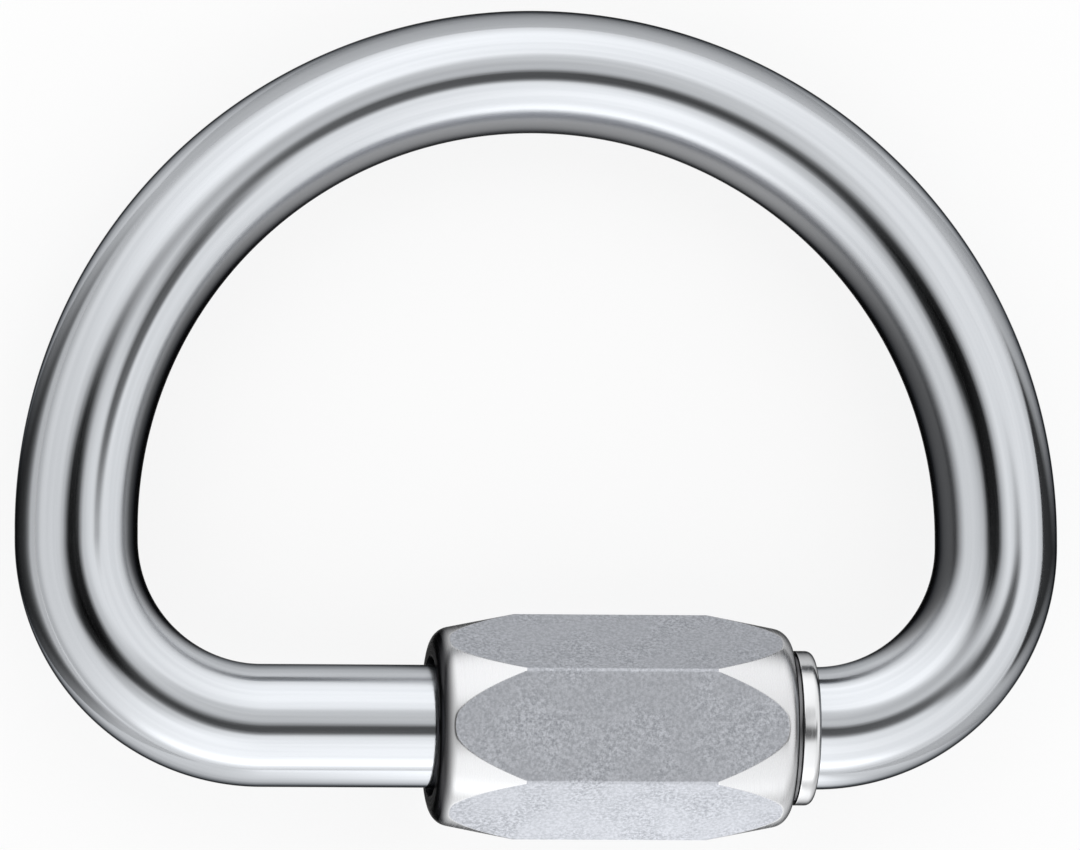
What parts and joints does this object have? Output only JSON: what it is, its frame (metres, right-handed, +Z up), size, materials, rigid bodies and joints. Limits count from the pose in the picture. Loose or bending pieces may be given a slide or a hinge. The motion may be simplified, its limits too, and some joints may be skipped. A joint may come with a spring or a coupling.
{
  "type": "half-round screw quick link",
  "caption": "D-shaped link bent from round steel rod, its straight leg closed by a tapered hexagonal sleeve nut that runs back along the rod to open a gate.",
  "frame": {"origin": "middle of the link's outline, on the surface that it lies on", "axes": "+X along the sleeve nut towards its collar, +Y from the nut to the top of the bow, +Z up, away from the surface"},
  "size_m": [0.0856, 0.0676, 0.016],
  "materials": {
    "polished_rod": "bright polished steel",
    "satin_nut": "satin plated steel, flats finely blasted, ends turned bright"
  },
  "bodies": {
    "link": {"link_body": "polished_rod"},
    "nut": {"sleeve_nut": "satin_nut"}
  },
  "joints": [
    {"name": "nut_travel", "type": "slide", "parent": "link", "child": "nut", "axis": [1, 0, 0], "range_m": [-0.016, 0]}
  ]
}
